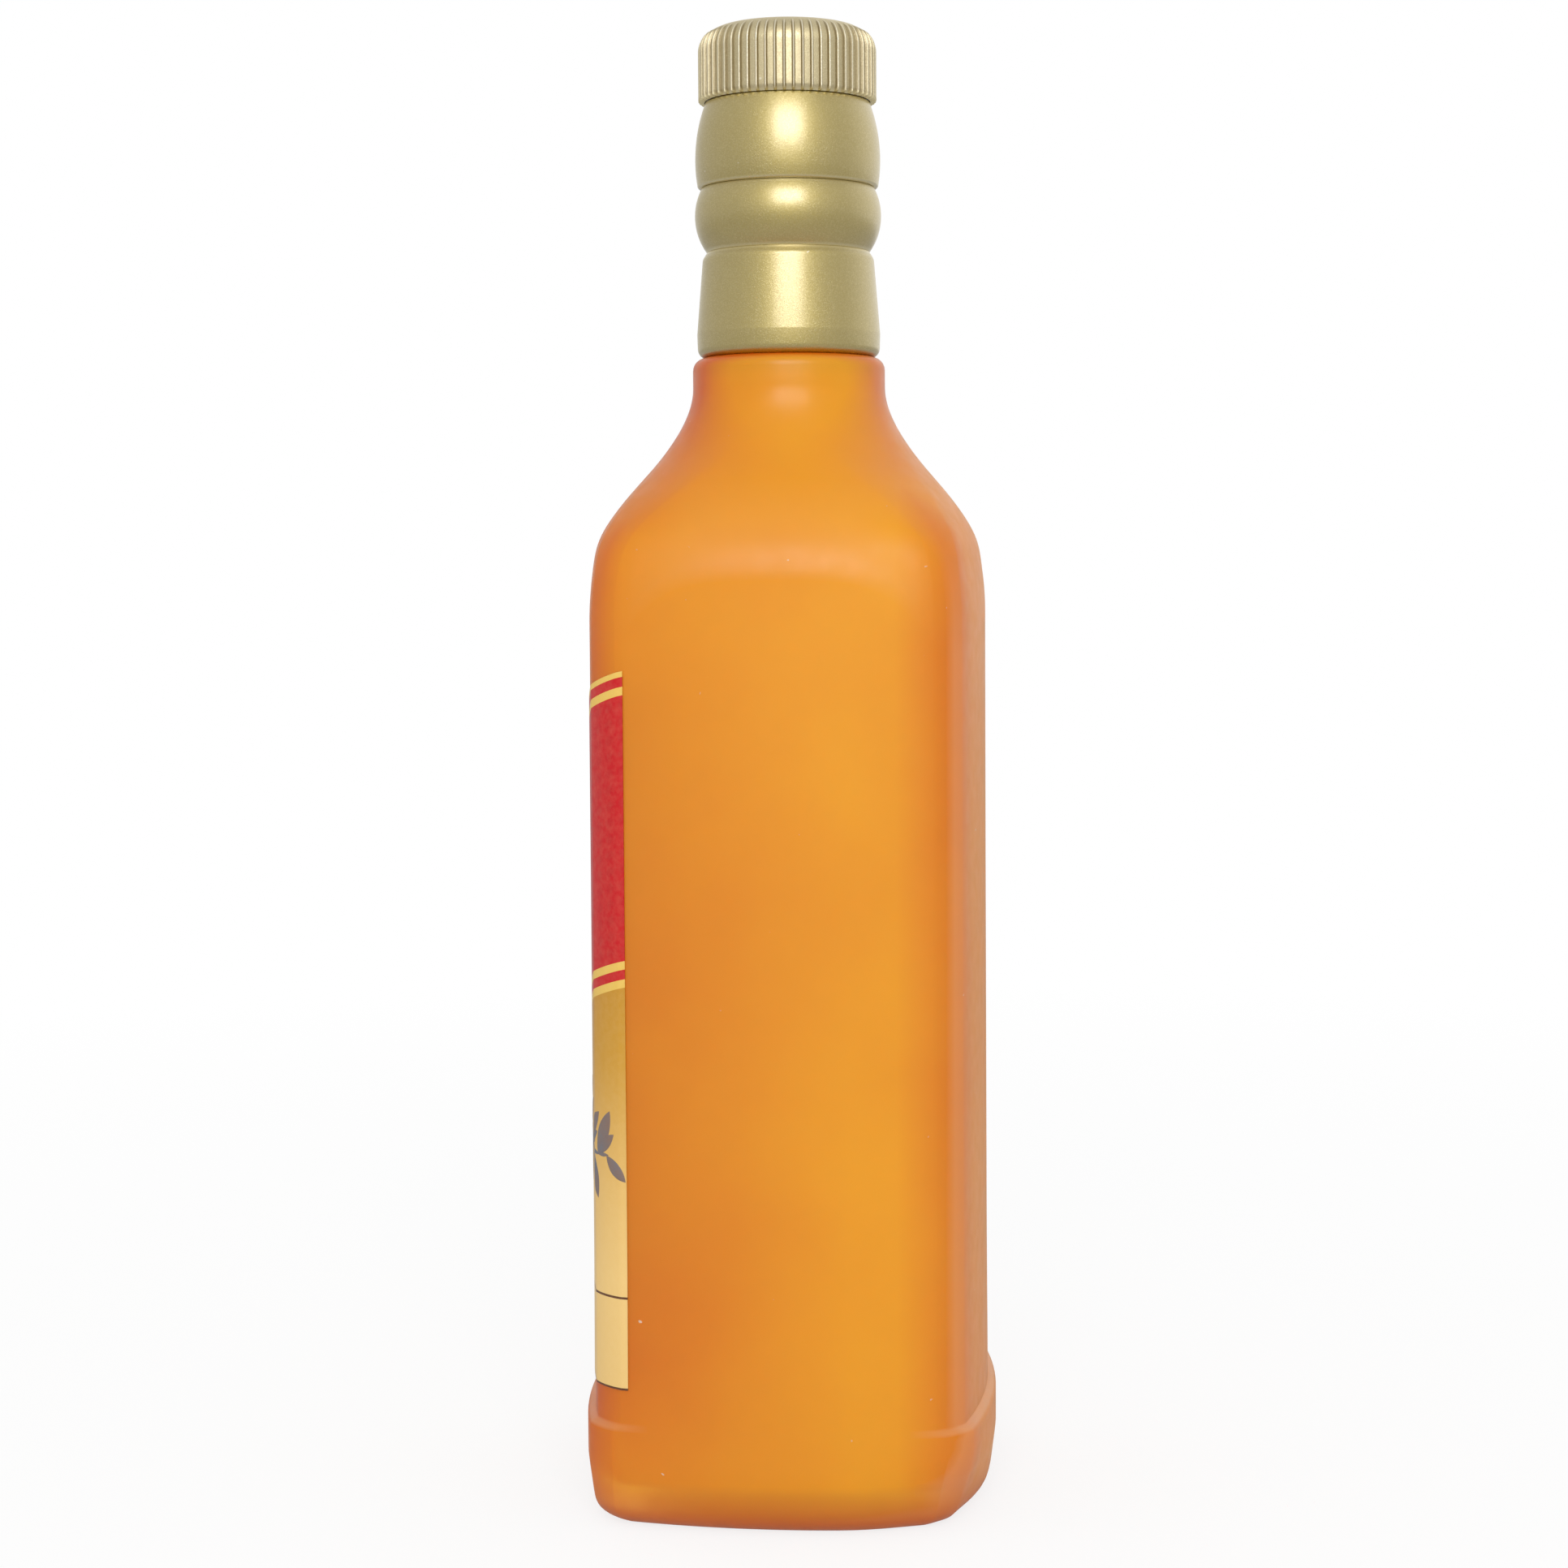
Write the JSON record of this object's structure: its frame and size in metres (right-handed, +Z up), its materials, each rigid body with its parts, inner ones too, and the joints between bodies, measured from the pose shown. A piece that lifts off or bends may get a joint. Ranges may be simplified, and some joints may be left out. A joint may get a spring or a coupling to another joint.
{
  "type": "oil bottle",
  "caption": "Tall square frosted glass oil bottle with a stepped foot, round shoulder, stacked gold collar rings, pour insert and ribbed screw cap that turns and lifts off.",
  "frame": {"origin": "middle of the foot, on the plane the bottle stands on", "axes": "+Z up along the neck's axis; -Y towards the label; +X along the width, to the right when the label is seen from the front"},
  "size_m": [0.0722, 0.072, 0.2553],
  "materials": {
    "amber_glass": "frosted",
    "label_paper": "coated paper",
    "gold_collar": "satin metallised",
    "gold_cap": "satin gold",
    "white_plastic": "moulded",
    "liner_foam": "soft foam"
  },
  "bodies": {
    "bottle": {"bottle_shell": "amber_glass", "front_label": "label_paper", "collar_skirt": "gold_collar", "collar_ring": "gold_collar", "collar_barrel": "gold_collar", "pour_insert": "white_plastic"},
    "liner": {"cap_liner": "liner_foam"},
    "cap": {"cap_shell": "gold_cap", "cap_insert": "white_plastic"}
  },
  "joints": [
    {"name": "cap_lift", "type": "slide", "parent": "bottle", "child": "liner", "axis": [0, 0, 1], "range_m": [0, 0.0106]},
    {"name": "cap_turn", "type": "hinge", "parent": "liner", "child": "cap", "pos_m": [0, 0, 0.2488], "axis": [0, 0, 1], "range_deg": [0, 1260]}
  ],
  "couplings": [
    {"joint": "cap_lift", "follows": "cap_turn", "m_per_rad": 0.00047746}
  ]
}
